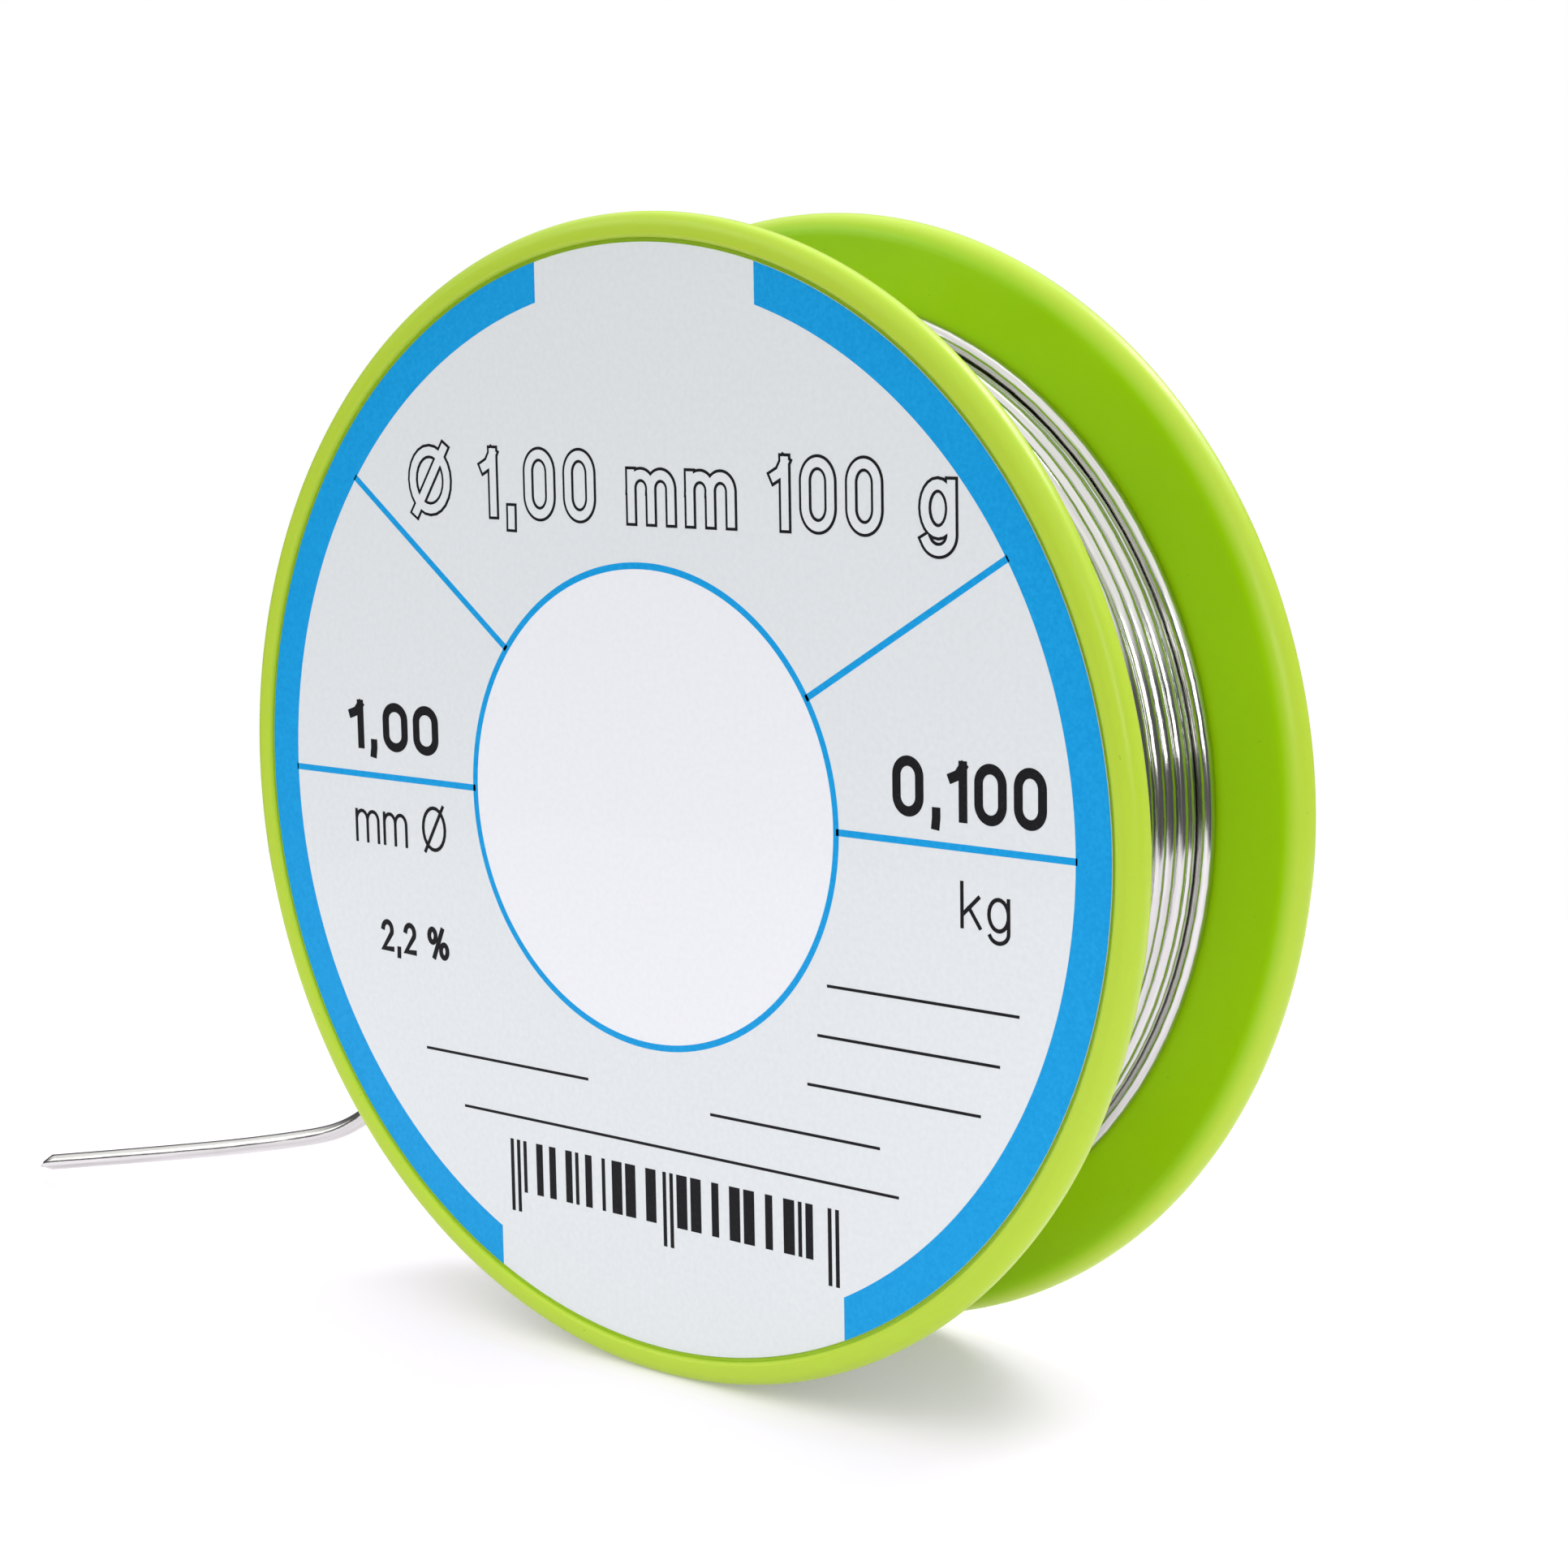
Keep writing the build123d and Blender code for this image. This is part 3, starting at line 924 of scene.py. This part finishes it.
# the upper row is open lettering: a black stroke with a narrower paper-coloured stroke on top of it
white_ink, nodes, links, shader = new_material("white_ink", (0.68, 0.71, 0.72), 0.5)
place = nodes.new("ShaderNodeTexCoord")
white_cover = grain_mask(nodes, links, place.outputs["Object"], 3200.0)
white_mix = blend_node(nodes, links, white_cover, (0.655, 0.695, 0.695), (0.695, 0.73, 0.73))
links.new(white_mix, shader.inputs["Base Color"])
open_pen = 0.00076
open_edge = 0.00015
open_row = ("Ø 1,00 mm 100 g", -0.590, 0.700, 0.505, 0.640)
printed("open_figures", pen_row(*open_row, open_pen), black_ink)
printed("open_filling", pen_row(*open_row, open_pen, 0.000016, open_pen - 2 * open_edge), white_ink)

# fine ruled lines to write on
ruled_rows = (
    (-0.588, -0.165, -0.520),
    (0.139, 0.520, -0.540),
    (-0.488, 0.560, -0.620),
    (0.413, 0.815, -0.270),
    (0.390, 0.775, -0.360),
    (0.366, 0.735, -0.450),
)
ruled_films = []
for left, right, level in ruled_rows:
    ends = np.array([[left, level], [right, level]]) * sticker_radius
    ruled_films.append(stroke_film(ends, 0.00015))
printed("ruled_lines", ruled_films, black_ink)

# bars of uneven width, with longer pairs at both ends and in the middle
bar_draw = np.random.default_rng(21)
bar_left, bar_right = -0.370, 0.430
bar_top, bar_foot, long_foot = -0.665, -0.765, -0.805
modules = 95
bars = [(m, 1, long_foot) for m in (0, 2, 46, 48, 92, 94)]
for first, last in ((4, 45), (50, 91)):
    at = first
    while at < last - 1:
        wide = min(int(bar_draw.integers(1, 4)), last - at)
        bars.append((at, wide, bar_foot))
        at += wide + int(bar_draw.integers(1, 4))
module_width = (bar_right - bar_left) / modules
bar_films = []
for first, wide, foot in bars:
    x = np.array([bar_left + first * module_width, bar_left + (first + wide) * module_width])
    grid = np.stack(np.meshgrid(x, np.array([foot, bar_top]), indexing="ij"), axis=-1) * sticker_radius
    bar_films.append(ink_film(grid))
printed("plain_bars", bar_films, black_ink)


# ---- studio ----
# A small white bench in front of an even white backdrop, a broad soft light from above and a dimmer band
# round the horizon, so that bright metal shows both light and dark.

bench_half = 0.13
bench_z = -0.030
bench_corners = np.array([
    [-bench_half, -bench_half, bench_z],
    [bench_half, -bench_half, bench_z],
    [bench_half, bench_half, bench_z],
    [-bench_half, bench_half, bench_z],
])
bench = mesh_object("white_bench", bench_corners, [(0, 1, 2, 3)], smooth=False)
white, nodes, links, shader = new_material("white_bench", (0.72, 0.68, 0.755), 0.5)
shader.inputs["Emission Color"].default_value = (1.0, 1.0, 1.0, 1.0)
shader.inputs["Emission Strength"].default_value = 0.24
shader.inputs["Specular IOR Level"].default_value = 0.3
bench.data.materials.append(white)

world = bpy.data.worlds.new("studio")
bpy.context.scene.world = world
world.use_nodes = True
nodes, links = world.node_tree.nodes, world.node_tree.links
nodes.clear()
way = nodes.new("ShaderNodeTexCoord")
split = nodes.new("ShaderNodeSeparateXYZ")
links.new(way.outputs["Generated"], split.inputs["Vector"])
sky = nodes.new("ShaderNodeValToRGB")
sky_stops = sky.color_ramp.elements
sky_stops[0].position = 0.0
sky_stops[0].color = (0.12, 0.12, 0.12, 1.0)
sky_stops[1].position = 1.0
sky_stops[1].color = (1.30, 1.30, 1.30, 1.0)
sky_stops.new(0.32).color = (0.14, 0.14, 0.145, 1.0)
sky_stops.new(0.54).color = (1.36, 1.36, 1.36, 1.0)
links.new(split.outputs["Z"], sky.inputs["Fac"])
lighting = nodes.new("ShaderNodeBackground")
links.new(sky.outputs["Color"], lighting.inputs["Color"])
backdrop = nodes.new("ShaderNodeBackground")
backdrop.inputs["Color"].default_value = (1.0, 1.0, 1.0, 1.0)
seen = nodes.new("ShaderNodeLightPath")
either = nodes.new("ShaderNodeMixShader")
links.new(seen.outputs["Is Camera Ray"], either.inputs["Fac"])
links.new(lighting.outputs["Background"], either.inputs[1])
links.new(backdrop.outputs["Background"], either.inputs[2])
world_output = nodes.new("ShaderNodeOutputWorld")
links.new(either.outputs["Shader"], world_output.inputs["Surface"])


def soft_light(name, place, size, watts):
    """A square soft light at a place, turned towards the middle of the spool."""
    light = bpy.data.lights.new(name, "AREA")
    light.shape = "SQUARE"
    light.size = size
    light.energy = watts
    lamp = bpy.data.objects.new(name, light)
    lamp.location = place
    lamp.rotation_mode = "QUATERNION"
    lamp.rotation_quaternion = (-Vector(place)).to_track_quat("-Z", "Y")
    bpy.context.scene.collection.objects.link(lamp)


soft_light("right_softbox", (0.80, -0.45, 0.25), 0.4, 3.0)
soft_light("rear_softbox", (0.15, 0.65, 0.60), 0.30, 4.2)
soft_light("left_softbox", (-0.60, -0.60, 0.40), 0.5, 1.9)

sun = bpy.data.lights.new("even_light", "SUN")
sun.energy = 0.24
sun.angle = math.radians(50.0)
sun_lamp = bpy.data.objects.new("even_light", sun)
sun_lamp.rotation_mode = "QUATERNION"
sun_lamp.rotation_quaternion = Vector((0.20, -0.30, -1.0)).to_track_quat("-Z", "Y")
bpy.context.scene.collection.objects.link(sun_lamp)

bpy.context.scene.view_settings.view_transform = "Standard"
bpy.context.scene.view_settings.look = "None"
